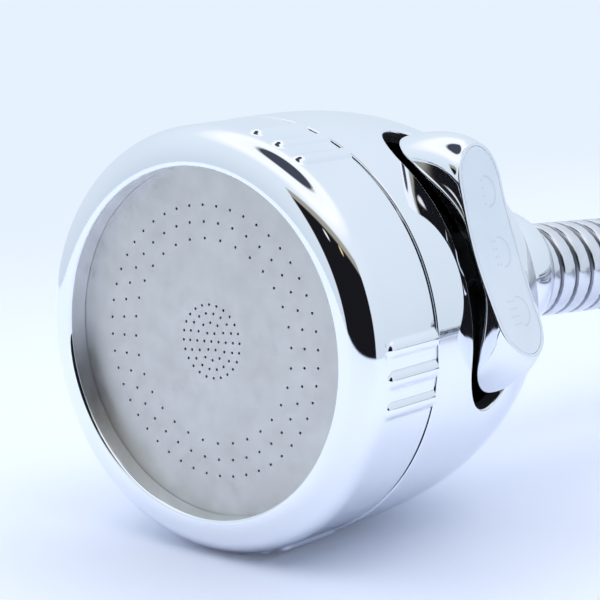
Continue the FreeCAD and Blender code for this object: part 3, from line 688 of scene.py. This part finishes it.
def slot_rows():
    """Rows from the margin over the slot's edge, down its wall and back along the inside."""
    steps = [(offset, 0.0) for offset in (SLOT_MARGIN, *SLOT_ROWS)] + round_edge(SLOT_EDGE)
    steps += [(0.0, 0.6), (0.0, 1.0), (SLOT_ROWS[-1], 1.0), (SLOT_MARGIN, 1.0)]
    rows = []
    for offset, depth in steps:
        outline = slot_outline(offset, SLOT_SAMPLES)
        rows.append([shell_point(shell_angle(w, y), y, depth) for w, y in outline])
    return rows


def rim_rows(steps):
    """Rows around the shell's end, one for each (y, depth)."""
    angles = [SHELL_STEP * column for column in range(SHELL_COLUMNS)]
    return [[shell_point(angle, y, depth) for angle in angles] for y, depth in steps]


def make_shell():
    """Outer and inner skin, open at both ends and at the slot, which has a small round on its edge."""
    fine_rows = spread(SHELL_FRONT + SHELL_EDGE, DOME_START, FRONT_ROWS)[:-1]
    fine_rows += spread(DOME_START, FINE_END, FINE_ROWS)
    all_rows = fine_rows + spread(FINE_END, NECK_END - NECK_EDGE, BACK_ROWS)[1:]
    window_rows = [y for y in fine_rows if WINDOW_FRONT < y < WINDOW_BACK]
    points, faces = [], []
    add_skins(points, faces, *window_mesh(window_rows))
    add_skins(points, faces, *shell_mesh(all_rows, window_rows))
    add_rows(points, faces, slot_rows())
    front = [(SHELL_FRONT + left, depth) for left, depth in round_edge(SHELL_EDGE)]
    add_rows(points, faces, rim_rows(front + [(SHELL_FRONT, 1.0), (SHELL_FRONT + SHELL_EDGE, 1.0)]))
    neck = NECK_END - NECK_EDGE
    add_rows(points, faces, rim_rows([(neck, 0.0), (NECK_END, 0.35), (NECK_END, 1.0), (neck, 1.0)]))
    shell = mesh_object("body_skin", points, faces, 50.0, merge=SMALL)
    smooth_shell_normals(shell)
    blacken_inside(shell)
    return shell


def blacken_inside(shell):
    """Gives the second material to the wall of the slot and to the inner skin."""
    for polygon in shell.data.polygons:
        place = polygon.center - HEAD
        sunk = shell_outside(place.y) - math.hypot(place.x, place.z)
        if sunk > BLACK_START and SHELL_FRONT + SHELL_EDGE < place.y < NECK_END - MM:
            polygon.material_index = 1


def smooth_shell_normals(shell):
    """Gives the outer skin the exact direction of its own outline."""
    mesh = shell.data
    normals = [corner.vector.copy() for corner in mesh.corner_normals]
    tiny = 0.01 * MM
    for polygon in mesh.polygons:
        for loop in polygon.loop_indices:
            place = mesh.vertices[mesh.loops[loop].vertex_index].co - HEAD
            radius = math.hypot(place.x, place.z)
            if abs(radius - shell_outside(place.y)) > SMALL or normals[loop].y < -0.5:
                continue
            slope = (shell_outside(place.y + tiny) - shell_outside(place.y - tiny)) / (2 * tiny)
            exact = Vector((place.x / radius, -slope, place.z / radius)).normalized()
            if exact.dot(normals[loop]) > 0.9:
                normals[loop] = exact
    mesh.normals_split_custom_set(normals)


# Lever

def lever_half_thickness(w, half_length, half_width, waist, shoulder_share):
    """Half of the lever's thickness at a place along it: waisted in the middle, round at the ends."""
    shoulder = half_length * shoulder_share
    away = abs(w)
    if away >= shoulder:
        share = min((away - shoulder) / (half_length - shoulder), 1.0)
        return half_width * math.sqrt(max(0.0, 1 - share * share))
    share = away / shoulder
    rise = share * share * (3 - 2 * share)
    return waist + (half_width - waist) * rise


def lever_contour(half_length, half_width, waist, shoulder_share, shift, count):
    """Points (y, w) around the lever, with y counted from its middle."""
    points = []
    for index in range(count):
        angle = TURN * index / count
        w = half_length * math.sin(angle)
        thickness = lever_half_thickness(w, half_length, half_width, waist, shoulder_share)
        points.append((math.copysign(thickness, math.cos(angle)), w + shift))
    return points


def face_rise(w):
    """Height of the lever's hollow face, which leans towards its lower end."""
    centre_w = LEVER_SHIFT - LEVER_HOLLOW * math.sin(LEVER_LEAN)
    centre_q = LEVER_TOP + LEVER_HOLLOW * math.cos(LEVER_LEAN)
    return centre_q - math.sqrt(LEVER_HOLLOW ** 2 - (w - centre_w) ** 2)


def face_contour(inset, count):
    """The lever's outline at its face, drawn in from the edge."""
    half_length, half_width = LEVER_HALF_LENGTH - inset, LEVER_HALF_WIDTH - inset
    waist = half_width + LEVER_SIDE_BULGE
    return lever_contour(half_length, half_width, waist, FACE_SHOULDER, LEVER_SHIFT, count)


def face_point(y, w, sunk=0.0):
    return rocked_point(face_rise(w) - sunk, LEVER_PLACE + y, w)


def pocket_point(y, w):
    return face_point(y, w, POCKET_DEPTH)


def face_row(inset, sunk, count):
    return [face_point(y, w, sunk) for y, w in face_contour(inset, count)]


def skirt_rise(w):
    return math.sqrt(max(SKIRT_RADIUS ** 2 - w * w, 0.0))


def flank_contour(lift, inset, count):
    """The lever's outline at a share of its height, from its lower rim to its face."""
    half_length = WING_HALF_LENGTH + (LEVER_HALF_LENGTH - WING_HALF_LENGTH) * lift ** FLANK_POWER - inset
    half_width = WING_HALF_WIDTH + (LEVER_HALF_WIDTH - WING_HALF_WIDTH) * lift - inset
    waist = WING_WAIST + (LEVER_HALF_WIDTH + LEVER_SIDE_BULGE - WING_WAIST) * lift - inset
    shoulder = WING_SHOULDER + (FACE_SHOULDER - WING_SHOULDER) * lift
    return lever_contour(half_length, half_width, waist, shoulder, LEVER_SHIFT * lift, count)


def under_point(y, w, raised=0.0):
    return rocked_point(skirt_rise(w) + raised, LEVER_PLACE + y, w)


def side_rows():
    """Rows up the lever's side: a rounded lower edge, the flank, and a rounded upper edge."""
    rows = []
    for turn in (0, 30, 60):
        inset = LEVER_EDGE * (1 - math.sin(math.radians(turn)))
        raised = LEVER_EDGE * (1 - math.cos(math.radians(turn)))
        rows.append([under_point(y, w, raised) for y, w in flank_contour(0.0, inset, LEVER_SAMPLES)])
    for lift in FLANK_LIFTS:
        row = []
        for y, w in flank_contour(lift, 0.0, LEVER_SAMPLES):
            low = skirt_rise(w) + LEVER_EDGE
            top = face_rise(w) - LEVER_EDGE
            row.append(rocked_point(low + (top - low) * lift, LEVER_PLACE + y, w))
        rows.append(row)
    for turn in spread(0.0, math.pi / 2, 5)[1:]:
        inset = LEVER_EDGE * (1 - math.cos(turn))
        rows.append(face_row(inset, LEVER_EDGE * (1 - math.sin(turn)), LEVER_SAMPLES))
    return rows


def make_lever():
    """Chrome lever with a hollow face, a pocket for its plate, and a hub on the pivot under it."""
    rows = side_rows()
    shiny = (len(rows) - 1) * LEVER_SAMPLES
    pocket = PLATE_INSET - PLATE_GAP
    for inset, sunk in ((LEVER_EDGE + RIM_STEP, 0.0), (pocket, 0.0), (pocket + FINE_EDGE, POCKET_DEPTH)):
        rows.append(face_row(inset, sunk, LEVER_SAMPLES))
    points, faces = [], []
    add_rows(points, faces, rows)
    fill_across(points, faces, face_contour(pocket + FINE_EDGE, LEVER_SAMPLES), pocket_point)
    hidden = len(faces)
    fill_across(points, faces, flank_contour(0.0, LEVER_EDGE, LEVER_SAMPLES), under_point)
    add_hub(points, faces)
    lever = mesh_object("lever_skin", points, faces, 50.0)
    for polygon in lever.data.polygons[shiny:]:
        polygon.material_index = 1 if polygon.index < hidden else 2
    return lever


def add_hub(points, faces):
    """Round hub on the pivot, and the web that joins it to the lever."""
    bore_front, bore_back = (PIN_RADIUS, HUB_FRONT), (PIN_RADIUS, HUB_BACK)
    rows = []
    for radius, y in (bore_front, (HUB_RADIUS, HUB_FRONT), (HUB_RADIUS, HUB_BACK), bore_back):
        row = []
        for column in range(HUB_SEGMENTS):
            angle = TURN * column / HUB_SEGMENTS
            row.append(rocked_point(PIVOT_RADIUS + radius * math.cos(angle), y, radius * math.sin(angle)))
        rows.append(row)
    add_rows(points, faces, rows, wrap_rows=True)
    rows = []
    for q in (PIVOT_RADIUS, WEB_TOP):
        row = []
        for y, w in ((-1, -1), (1, -1), (1, 1), (-1, 1)):
            row.append(rocked_point(q, LEVER_PLACE + y * WEB_HALF_WIDTH, w * WEB_HALF_LENGTH))
        rows.append(row)
    add_rows(points, faces, rows)


def fill_across(points, faces, contour, place):
    """Surface inside a contour, in rows from one side to the other; place(y, w) gives each point."""
    quarter = len(contour) // 4
    rows = []
    for index in range(-quarter, quarter + 1):
        half, w = contour[index % len(contour)]
        rows.append([place(half * (1 - 2 * share), w) for share in spread(0.0, 1.0, FILL_COLUMNS)])
    add_rows(points, faces, rows, wrap_columns=False)


def add_strip(points, faces, left, right):
    """Narrow strip between two rows of places."""
    base = len(points)
    for pair in zip(left, right):
        points.extend(pair)
    for step in range(len(left) - 1):
        here = base + 2 * step
        faces.append((here, here + 2, here + 3, here + 1))


def add_dot(points, faces, y, w):
    """Small round spot on the lever's plate."""
    base = len(points)
    for corner in range(DOT_SIDES):
        angle = TURN * corner / DOT_SIDES
        y_there, w_there = y + DOT_RADIUS * math.cos(angle), w + DOT_RADIUS * math.sin(angle)
        points.append(face_point(y_there, w_there, -MARK_LIFT))
    faces.append(tuple(range(base, base + DOT_SIDES)))


def add_mark(points, faces, middle, columns):
    """Plain spray mark: an arch, with columns of dots beside it."""
    arches = []
    for radius in (MARK_RADIUS, MARK_RADIUS - MARK_LINE):
        arch = []
        for angle in spread(-math.pi / 2, math.pi / 2, MARK_STEPS):
            y, w = MARK_SHIFT + radius * math.cos(angle), middle + radius * math.sin(angle)
            arch.append(face_point(y, w, -MARK_LIFT))
        arches.append(arch)
    add_strip(points, faces, *arches)
    for column in range(columns):
        for row in DOT_ROWS:
            add_dot(points, faces, MARK_SHIFT - DOT_PITCH * (column + 1), middle + DOT_ROW_PITCH * row)


def make_lever_face():
    """Thin satin plate in the lever's hollow face, with three plain spray marks."""
    inner = PLATE_INSET + RIM_STEP
    points, faces = [], []
    sides = ((PLATE_INSET, POCKET_DEPTH), (PLATE_INSET, FINE_EDGE), (inner, 0.0))
    add_rows(points, faces, [face_row(inset, sunk, PLATE_SAMPLES) for inset, sunk in sides])
    fill_across(points, faces, face_contour(inner, PLATE_SAMPLES), face_point)
    plain = len(faces)
    for index, place in enumerate(MARK_PLACES):
        add_mark(points, faces, LEVER_SHIFT + place, index + 1)
    plate = mesh_object("lever_face", points, faces, 40.0)
    for polygon in plate.data.polygons[plain:]:
        polygon.material_index = 1
    return plate


# Swivel cup

def along_hose(radius, angle, y):
    """Places a point on the hose's axis, counted from the ball's centre."""
    side = Vector((1, 0, 0))
    side = (side - HOSE_AXIS * side.dot(HOSE_AXIS)).normalized()
    above = HOSE_AXIS.cross(side)
    centre = HEAD + Vector((0, BALL_PLACE, 0))
    return centre + HOSE_AXIS * y + (side * math.cos(angle) + above * math.sin(angle)) * radius


def make_cup():
    """Round cup, open at the ball's side, with a narrow bore for the hose at its other end."""
    front_angle = math.degrees(math.asin(CUP_FRONT / CUP_RADIUS))
    back_angle = math.degrees(math.asin(CUP_BACK / CUP_RADIUS)) - 1.5
    profile = [(CUP_MOUTH, CUP_FRONT + CUP_MOUTH_DEPTH), (CUP_FACE, CUP_FRONT)]
    profile += arc((0, 0), CUP_RADIUS, front_angle, back_angle, 40)
    profile += [(CUP_END + CUP_ROUND, CUP_BACK - CUP_ROUND_DEPTH), (CUP_END, CUP_BACK)]
    profile += [(CUP_BORE, y) for y in (CUP_BACK, CUP_BORE_END, -CUP_BORE_END)]
    return lathe("swivel_cup_skin", profile, CUP_SEGMENTS, along_hose, 40.0)


# Materials

BUMP_DEPTH = 0.2 * MM


def add_node(tree, kind, **settings):
    node = tree.nodes.new(kind)
    for name, value in settings.items():
        setattr(node, name, value)
    return node


def new_material(name):
    material = bpy.data.materials.new(name)
    material.use_nodes = True
    tree = material.node_tree
    return material, tree, tree.nodes["Principled BSDF"]


def noise(tree, scale, detail):
    place = add_node(tree, "ShaderNodeTexCoord")
    texture = add_node(tree, "ShaderNodeTexNoise")
    texture.inputs["Scale"].default_value = scale
    texture.inputs["Detail"].default_value = detail
    tree.links.new(place.outputs["Object"], texture.inputs["Vector"])
    return texture.outputs["Fac"]


def ramped(tree, value, stops):
    ramp = add_node(tree, "ShaderNodeValToRGB")
    elements = ramp.color_ramp.elements
    while len(elements) < len(stops):
        elements.new(0.5)
    for element, (place, colour) in zip(elements, stops):
        element.position = place
        element.color = (*colour, 1.0)
    tree.links.new(value, ramp.inputs["Fac"])
    return ramp.outputs["Color"]


def wandering(tree, scale, detail, low, high):
    """Colour that wanders between two others."""
    return ramped(tree, noise(tree, scale, detail), ((0.3, low), (0.7, high)))


def grey(level):
    return (level, level, level)


def bump(tree, height, strength, distance):
    node = add_node(tree, "ShaderNodeBump")
    node.inputs["Strength"].default_value = strength
    node.inputs["Distance"].default_value = distance
    tree.links.new(height, node.inputs["Height"])
    return node.outputs["Normal"]


def surface_material(name, dark, light, metallic, rough_low, rough_high, scale, bumps=0.0):
    """Base for every material: colour and roughness wander between two values, with a faint bump."""
    material, tree, shader = new_material(name)
    shader.inputs["Metallic"].default_value = metallic
    tree.links.new(wandering(tree, scale, 5.0, dark, light), shader.inputs["Base Color"])
    rough = wandering(tree, scale * 2.3, 6.0, grey(rough_low), grey(rough_high))
    tree.links.new(rough, shader.inputs["Roughness"])
    if bumps:
        fine = noise(tree, scale * 6.0, 8.0)
        tree.links.new(bump(tree, fine, bumps, BUMP_DEPTH), shader.inputs["Normal"])
    return material


CHROME = surface_material(
    "chrome", (0.86, 0.885, 0.92), (0.90, 0.92, 0.95), 1.0, 0.02, 0.05, 60.0)
# Painted shade: the hose's groove gets this darker steel, which stands for the shade between its bands.
GROOVE_PAINTED_SHADE = surface_material(
    "groove_painted_shade", (0.30, 0.31, 0.35), (0.38, 0.39, 0.43), 1.0, 0.25, 0.35, 300.0)
HOSE_STEEL = surface_material(
    "hose_steel", (0.70, 0.72, 0.76), (0.80, 0.82, 0.86), 1.0, 0.12, 0.22, 300.0)
PLATE_STEEL = surface_material(
    "plate_steel", (0.62, 0.61, 0.58), (0.67, 0.66, 0.63), 1.0, 0.42, 0.55, 200.0, 0.15)
LEVER_SATIN = surface_material(
    "lever_satin", (0.80, 0.84, 0.90), (0.84, 0.88, 0.93), 0.6, 0.30, 0.36, 150.0)
MARK = surface_material(
    "mark", (0.70, 0.74, 0.81), (0.74, 0.78, 0.85), 0.6, 0.34, 0.40, 150.0)
BLACK = surface_material(
    "black_plastic", grey(0.012), grey(0.03), 0.0, 0.35, 0.5, 250.0, 0.1)
WHITE = surface_material(
    "white_plastic", (0.78, 0.78, 0.76), (0.84, 0.84, 0.82), 0.0, 0.35, 0.45, 250.0, 0.1)
RUBBER = surface_material(
    "seal_rubber", grey(0.02), grey(0.045), 0.0, 0.6, 0.75, 400.0, 0.2)
LINER = surface_material(
    "liner", (0.74, 0.74, 0.70), (0.80, 0.80, 0.77), 0.0, 0.45, 0.55, 400.0, 0.1)
BRASS = surface_material(
    "brass", (0.62, 0.46, 0.20), (0.72, 0.56, 0.27), 1.0, 0.22, 0.34, 250.0, 0.05)
PIN_STEEL = surface_material(
    "pin_steel", (0.52, 0.53, 0.55), (0.62, 0.63, 0.65), 1.0, 0.24, 0.36, 300.0, 0.05)

SLOT_MATERIALS = {
    "chrome": CHROME,
    "plate_steel": PLATE_STEEL,
    "hose_steel": HOSE_STEEL,
    "lever_satin": LEVER_SATIN,
    "black_plastic": BLACK,
    "white_plastic": WHITE,
    "seal_rubber": RUBBER,
    "liner": LINER,
    "brass": BRASS,
    "pin_steel": PIN_STEEL,
}


def dress(piece, *materials):
    if piece.data.materials:
        piece.data.materials.clear()
    for material in materials:
        piece.data.materials.append(material)


def dress_frame():
    """Gives every carried-over node the material of its slot."""
    for entry in frame["record"]["subparts"]:
        dress(frame["nodes"][entry["node"]], SLOT_MATERIALS[entry["material_slot"]])


# Floor, backdrop and light

def calculate(tree, operation, *values):
    """Math node; each value is a socket or a number."""
    node = add_node(tree, "ShaderNodeMath", operation=operation)
    for socket, value in zip(node.inputs, values):
        if isinstance(value, (int, float)):
            socket.default_value = value
        else:
            tree.links.new(value, socket)
    return node.outputs["Value"]


def soft_step(tree, value, start, end):
    """0 before start and 1 after end, with a smooth rise between them."""
    node = add_node(tree, "ShaderNodeMapRange", interpolation_type="SMOOTHSTEP")
    node.inputs["From Min"].default_value = min(start, end)
    node.inputs["From Max"].default_value = max(start, end)
    node.inputs["To Min"].default_value = 0.0 if start < end else 1.0
    node.inputs["To Max"].default_value = 1.0 if start < end else 0.0
    tree.links.new(value, node.inputs["Value"])
    return node.outputs["Result"]


def blend_colours(tree, share, first, second):
    node = add_node(tree, "ShaderNodeMixRGB")
    tree.links.new(share, node.inputs["Fac"])
    for socket, value in ((node.inputs["Color1"], first), (node.inputs["Color2"], second)):
        if isinstance(value, tuple):
            socket.default_value = (*value, 1.0)
        else:
            tree.links.new(value, socket)
    return node.outputs["Color"]


def mix_shaders(tree, share, first, second):
    node = add_node(tree, "ShaderNodeMixShader")
    for socket, value in zip(node.inputs, (share, first, second)):
        tree.links.new(value, socket)
    return node.outputs["Shader"]


def distance_from(tree, x, y):
    """Distance on the floor from a place."""
    place = add_node(tree, "ShaderNodeTexCoord").outputs["Object"]
    distance = add_node(tree, "ShaderNodeVectorMath", operation="DISTANCE")
    tree.links.new(place, distance.inputs[0])
    distance.inputs[1].default_value = (x, y, FLOOR)
    return distance.outputs["Value"]


def make_stage():
    """Pale floor; far from the object it takes the backdrop's colour, so that no edge shows."""
    size = FLOOR_SIZE
    corners = [(-size, -size, FLOOR), (size, -size, FLOOR), (size, size, FLOOR), (-size, size, FLOOR)]
    floor = mesh_object("floor", corners, [(0, 1, 2, 3)])
    material, tree, shader = new_material("floor")
    shader.inputs["Roughness"].default_value = 0.6
    tint = wandering(tree, 3.0, 4.0, FLOOR_COLOUR, FLOOR_LIGHTER)
    tree.links.new(tint, shader.inputs["Base Color"])
    from_head = distance_from(tree, HEAD.x, HEAD.y)
    from_coil = distance_from(tree, HEAD.x + COIL_ENTRY[0] + COIL_OUTER, HEAD.y + COIL_ENTRY[1])
    nearest = calculate(tree, "MINIMUM", from_head, calculate(tree, "SUBTRACT", from_coil, COIL_NEARER))
    path = add_node(tree, "ShaderNodeLightPath")
    fade = calculate(tree, "MULTIPLY_ADD", soft_step(tree, nearest, *FADE), FADE_RISE, FADE_NEAR)
    seen = calculate(tree, "MULTIPLY", fade, path.outputs["Is Camera Ray"])
    missed = calculate(
        tree, "MULTIPLY", soft_step(tree, from_head, *MIRROR_FADE), path.outputs["Is Glossy Ray"])
    backdrop = add_node(tree, "ShaderNodeEmission")
    backdrop.inputs["Color"].default_value = (*BACKDROP, 1.0)
    clear = add_node(tree, "ShaderNodeBsdfTransparent")
    faded = mix_shaders(tree, seen, shader.outputs["BSDF"], backdrop.outputs["Emission"])
    opened = mix_shaders(tree, missed, faded, clear.outputs["BSDF"])
    tree.links.new(opened, tree.nodes["Material Output"].inputs["Surface"])
    dress(floor, material)


def turned_direction(tree, x, y):
    """A direction's parts towards the tent's open side and across it."""
    cosine, sine = math.cos(OPEN_SIDE), math.sin(OPEN_SIDE)
    ahead = calculate(
        tree, "ADD", calculate(tree, "MULTIPLY", x, cosine), calculate(tree, "MULTIPLY", y, sine))
    aside = calculate(
        tree, "SUBTRACT", calculate(tree, "MULTIPLY", y, cosine), calculate(tree, "MULTIPLY", x, sine))
    return ahead, aside


def tent_colour(tree, x, y, up):
    """Pale walls, a dark opening in the open side, and a grey flap over it."""
    walls = ramped(tree, calculate(tree, "MULTIPLY_ADD", up, 0.5, 0.5), WALLS)
    ahead, aside = turned_direction(tree, x, y)
    facing = calculate(tree, "MAXIMUM", ahead, OPEN_FRONT[0])
    across = calculate(tree, "ABSOLUTE", calculate(tree, "DIVIDE", aside, facing))
    height = calculate(tree, "DIVIDE", up, facing)
    gap = calculate(
        tree, "MULTIPLY", soft_step(tree, ahead, *OPEN_FRONT), soft_step(tree, across, *OPEN_SIDES))
    over_bottom = soft_step(tree, height, *OPEN_BOTTOM)
    flap = calculate(tree, "MULTIPLY", gap, soft_step(tree, height, *FLAP_TOP))
    lower = calculate(tree, "MULTIPLY", soft_step(tree, height, *OPEN_TOP), over_bottom)
    colour = blend_colours(tree, flap, walls, FLAP_COLOUR)
    colour = blend_colours(tree, over_bottom, walls, colour)
    return blend_colours(tree, calculate(tree, "MULTIPLY", gap, lower), colour, OPEN_COLOUR)


def add_lamp(tree, direction, behind, azimuth, elevation, colour):
    """Adds a small round lamp to the colour behind it."""
    turn, lift = math.radians(azimuth), math.radians(elevation)
    aim = Vector((math.cos(turn) * math.cos(lift), math.sin(turn) * math.cos(lift), math.sin(lift)))
    spot = add_node(tree, "ShaderNodeVectorMath", operation="DOT_PRODUCT")
    tree.links.new(direction, spot.inputs[0])
    spot.inputs[1].default_value = aim
    start, end = [math.cos(math.radians(degrees)) for degrees in LAMP_EDGE]
    return blend_colours(tree, soft_step(tree, spot.outputs["Value"], start, end), behind, colour)


def make_world():
    """A small pale tent all around, with one dark open side towards the viewer."""
    world = bpy.data.worlds.new("world")
    bpy.context.scene.world = world
    world.use_nodes = True
    tree = world.node_tree
    direction = add_node(tree, "ShaderNodeTexCoord").outputs["Generated"]
    parts = add_node(tree, "ShaderNodeSeparateXYZ")
    tree.links.new(direction, parts.inputs["Vector"])
    up = parts.outputs["Z"]
    colour = tent_colour(tree, parts.outputs["X"], parts.outputs["Y"], up)
    for lamp in LAMPS:
        colour = add_lamp(tree, direction, colour, *lamp)
    tent = tree.nodes["Background"]
    tree.links.new(colour, tent.inputs["Color"])
    path = add_node(tree, "ShaderNodeLightPath")
    rise = calculate(tree, "MAXIMUM", up, 0.0)
    overhead = calculate(tree, "MULTIPLY_ADD", rise, OVERHEAD_RISE, OVERHEAD_START)
    level = calculate(tree, "MULTIPLY_ADD", path.outputs["Is Diffuse Ray"], overhead, 1.0)
    tree.links.new(level, tent.inputs["Strength"])
    plain = add_node(tree, "ShaderNodeBackground")
    plain.inputs["Color"].default_value = (*BACKDROP, 1.0)
    both = mix_shaders(
        tree, path.outputs["Is Camera Ray"], tent.outputs["Background"], plain.outputs["Background"])
    tree.links.new(both, tree.nodes["World Output"].inputs["Surface"])


make_camera()
hose, hose_line = make_hose()
ring = make_ring()
shell = make_shell()
lever = make_lever()
lever_face = make_lever_face()
cup = make_cup()

dress_frame()
dress(hose, HOSE_STEEL, GROOVE_PAINTED_SHADE)
dress(ring, CHROME)
dress(cup, CHROME)
dress(shell, CHROME, BLACK)
dress(lever, CHROME, LEVER_SATIN, BLACK)
dress(lever_face, LEVER_SATIN, MARK)

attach(hose, "hose")
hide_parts("hose_front", "hose_lead", "hose_coil", "hose_tail")
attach(ring, "ring")
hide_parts("face_ring")
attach(shell, "head")
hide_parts("body_shell")
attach(lever, "lever")
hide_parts("lever")
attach(lever_face, "lever")
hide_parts("lever_plate")
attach(cup, "swivel_cup")
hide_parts("socket_cup")

make_stage()
make_world()

scene = bpy.context.scene
scene.view_settings.view_transform = "Standard"
